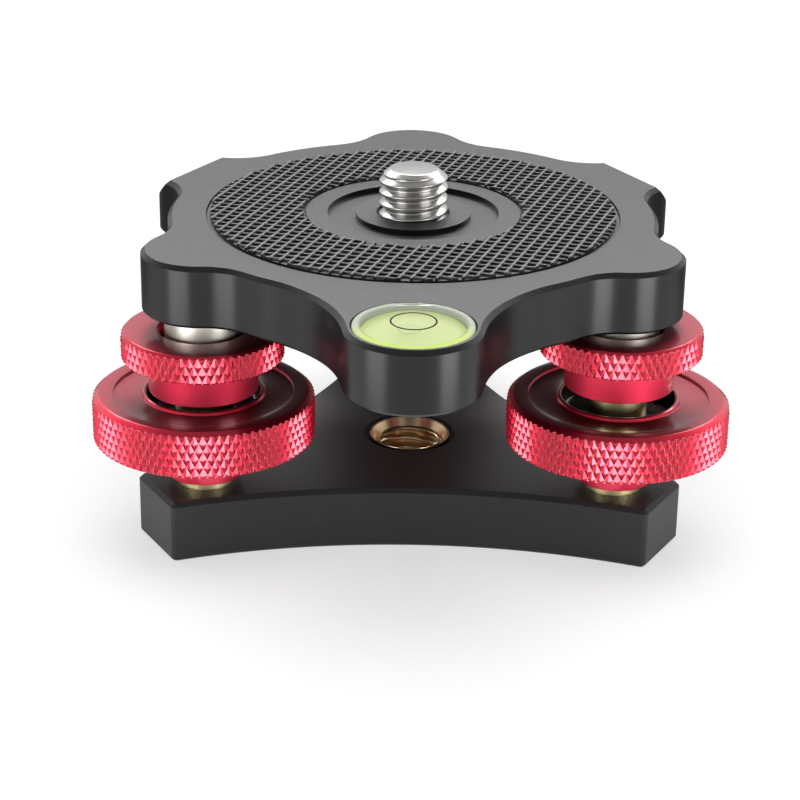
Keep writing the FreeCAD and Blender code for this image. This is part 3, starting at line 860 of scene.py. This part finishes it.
# white studio, in metres; frontSpan and topSpan are ranges of the sky's direction along y and z
studio = {
    "floorRadius": 1.2, "floorSides": 64, "floorDrop": 0.02 * mm, "floorShade": 0.5, "plainShade": 0.8,
    "fadeStart": 0.10, "fadeEnd": 0.45, "floorGlow": 0.5, "seenGlow": 0.1,
    "dimStart": -0.02, "dimEnd": 0.05, "dimShare": 0.85,
    "frontSpan": (-0.8, 0.6), "frontGlow": 0.45, "backGlow": 0.80,
    "topSpan": (0.45, 0.85), "topShare": 0.6, "softGlow": 0.45, "aim": (0.0, 0.0, 0.03),
    "lamps": [  # name, place, size, glow, whether it lights matte and glossy surfaces
        ("over", (0.0, 0.05, 0.80), (0.8, 0.8), 2.3, True, False),
        ("topBack", (0.0, 0.40, 0.50), (1.1, 0.22), 13.4, False, True),
        ("softLeft", (-0.35, -0.29, 0.07), (0.26, 0.13), 7.4, False, True),
        ("softRight", (0.34, -0.30, 0.07), (0.26, 0.13), 8.6, False, True),
        ("leftStrip", (-0.083, -0.089, 0.020), (0.060, 0.040), 3.6, False, True),
        ("rightStrip", (0.082, -0.092, 0.020), (0.052, 0.040), 5.0, False, True),
    ],
}


def buildWorld(look):
    world = bpy.data.worlds.new("studio")
    bpy.context.scene.world = world
    world.use_nodes = True
    tree = world.node_tree
    tree.nodes.clear()
    path = addNode(tree, "ShaderNodeLightPath").outputs
    way = axesOf(tree, addNode(tree, "ShaderNodeTexCoord").outputs["Generated"])
    level = remap(tree, way[1], *look["frontSpan"], look["frontGlow"], look["backGlow"])
    glow = calc(tree, "MULTIPLY", level, remap(tree, way[2], *look["topSpan"], 1.0, look["topShare"]))
    glossy = calc(tree, "MULTIPLY", path["Is Glossy Ray"], glow)
    soft = calc(tree, "MULTIPLY", calc(tree, "SUBTRACT", 1.0, path["Is Glossy Ray"]), look["softGlow"])
    unseen = calc(tree, "ADD", glossy, soft)
    seen = calc(tree, "MAXIMUM", path["Is Camera Ray"], path["Is Transmission Ray"])
    hidden = calc(tree, "MULTIPLY", unseen, calc(tree, "SUBTRACT", 1.0, seen))
    sky = addNode(tree, "ShaderNodeBackground", {
        "Color": opaque(white), "Strength": calc(tree, "ADD", seen, hidden)})
    addNode(tree, "ShaderNodeOutputWorld", {"Surface": sky.outputs[0]})


def blended(tree, share, first, second):
    return addNode(tree, "ShaderNodeMixShader", {0: share, 1: first, 2: second}).outputs[0]


def glowing(tree, colour, strength):
    return addNode(tree, "ShaderNodeEmission", {"Color": opaque(colour), "Strength": strength}).outputs[0]


def matt(tree, shade):
    return addNode(tree, "ShaderNodeBsdfDiffuse", {"Color": (shade, shade, shade, 1.0)}).outputs[0]


def floorFinish(look):
    material = bpy.data.materials.new("paleFloor")
    material.use_nodes = True
    tree = material.node_tree
    tree.nodes.clear()
    place = addNode(tree, "ShaderNodeTexCoord").outputs["Object"]
    distance = addNode(tree, "ShaderNodeVectorMath", {0: place}, operation="LENGTH").outputs["Value"]
    path = addNode(tree, "ShaderNodeLightPath").outputs
    seenGlow = look["floorGlow"] + look["seenGlow"]
    nearGlow = remap(tree, path["Is Camera Ray"], 0.0, 1.0, look["floorGlow"], seenGlow)
    near = addNode(tree, "ShaderNodeAddShader", {
        0: matt(tree, look["floorShade"]), 1: glowing(tree, white, nearGlow)}).outputs[0]
    far = remap(tree, distance, look["fadeStart"], look["fadeEnd"])
    surface = blended(tree, far, near, glowing(tree, white, 1.0))
    # walls turned to the rear mirror a darker floor
    depth = axesOf(tree, place)[1]
    behind = remap(tree, depth, look["dimStart"], look["dimEnd"], 0.0, look["dimShare"])
    mirrorShade = calc(tree, "MULTIPLY", behind, path["Is Glossy Ray"])
    surface = blended(tree, mirrorShade, surface, glowing(tree, black, 0.0))
    surface = blended(tree, path["Is Diffuse Ray"], surface, matt(tree, look["plainShade"]))
    # open to a camera below the floor
    under = addNode(tree, "ShaderNodeNewGeometry").outputs["Backfacing"]
    clear = addNode(tree, "ShaderNodeBsdfTransparent").outputs[0]
    surface = blended(tree, calc(tree, "MULTIPLY", under, path["Is Camera Ray"]), surface, clear)
    addNode(tree, "ShaderNodeOutputMaterial", {"Surface": surface})
    return material


def buildFloor(look):
    bm = bmesh.new()
    bmesh.ops.create_circle(bm, cap_ends=True, segments=look["floorSides"], radius=look["floorRadius"])
    mesh = bpy.data.meshes.new("floor")
    bm.to_mesh(mesh)
    bm.free()
    mesh.materials.append(floorFinish(look))
    newObject("floor", mesh, (0.0, 0.0, -look["floorDrop"]))


def buildLamps(look):
    for name, place, size, glow, lightsMatte, lightsGloss in look["lamps"]:
        lamp = bpy.data.lights.new(name, "AREA")
        lamp.shape = "RECTANGLE"
        lamp.size, lamp.size_y = size
        lamp.energy = glow * math.pi * size[0] * size[1]  # its surface then shines with this glow
        holder = bpy.data.objects.new(name, lamp)
        holder.location = place
        aim = Vector(look["aim"]) - Vector(place)
        holder.rotation_euler = aim.to_track_quat("-Z", "Y").to_euler()
        holder.visible_camera = False
        holder.visible_transmission = False
        holder.visible_diffuse, holder.visible_glossy = lightsMatte, lightsGloss
        bpy.context.scene.collection.objects.link(holder)


# camera fitted to the photo: place in mm, roll in degrees
cameraFit = {
    "lens": 100.1, "sensor": 36.0, "shift": -0.056, "clip": (0.01, 10.0),
    "place": (-1.91, -293.73, 140.52), "ahead": (0.00117, 0.92581, -0.37799), "roll": -0.84,
}


def buildCamera(look):
    lens = bpy.data.cameras.new("camera")
    lens.lens, lens.sensor_width = look["lens"], look["sensor"]
    lens.shift_y = look["shift"]
    lens.clip_start, lens.clip_end = look["clip"]
    camera = bpy.data.objects.new("camera", lens)
    place = [part * mm for part in look["place"]]
    ahead = Vector(look["ahead"]).normalized()
    across = ahead.cross(Vector((0.0, 0.0, 1.0))).normalized()
    across = Matrix.Rotation(math.radians(look["roll"]), 3, ahead) @ across
    up = across.cross(ahead)
    rows = [(across[axis], up[axis], -ahead[axis], place[axis]) for axis in range(3)]
    camera.matrix_world = Matrix((*rows, (0.0, 0.0, 0.0, 1.0)))
    bpy.context.scene.collection.objects.link(camera)
    bpy.context.scene.camera = camera


buildWorld(studio)
buildFloor(studio)
buildLamps(studio)
buildCamera(cameraFit)
bpy.context.scene.view_settings.view_transform = "Standard"
print("studio lit")
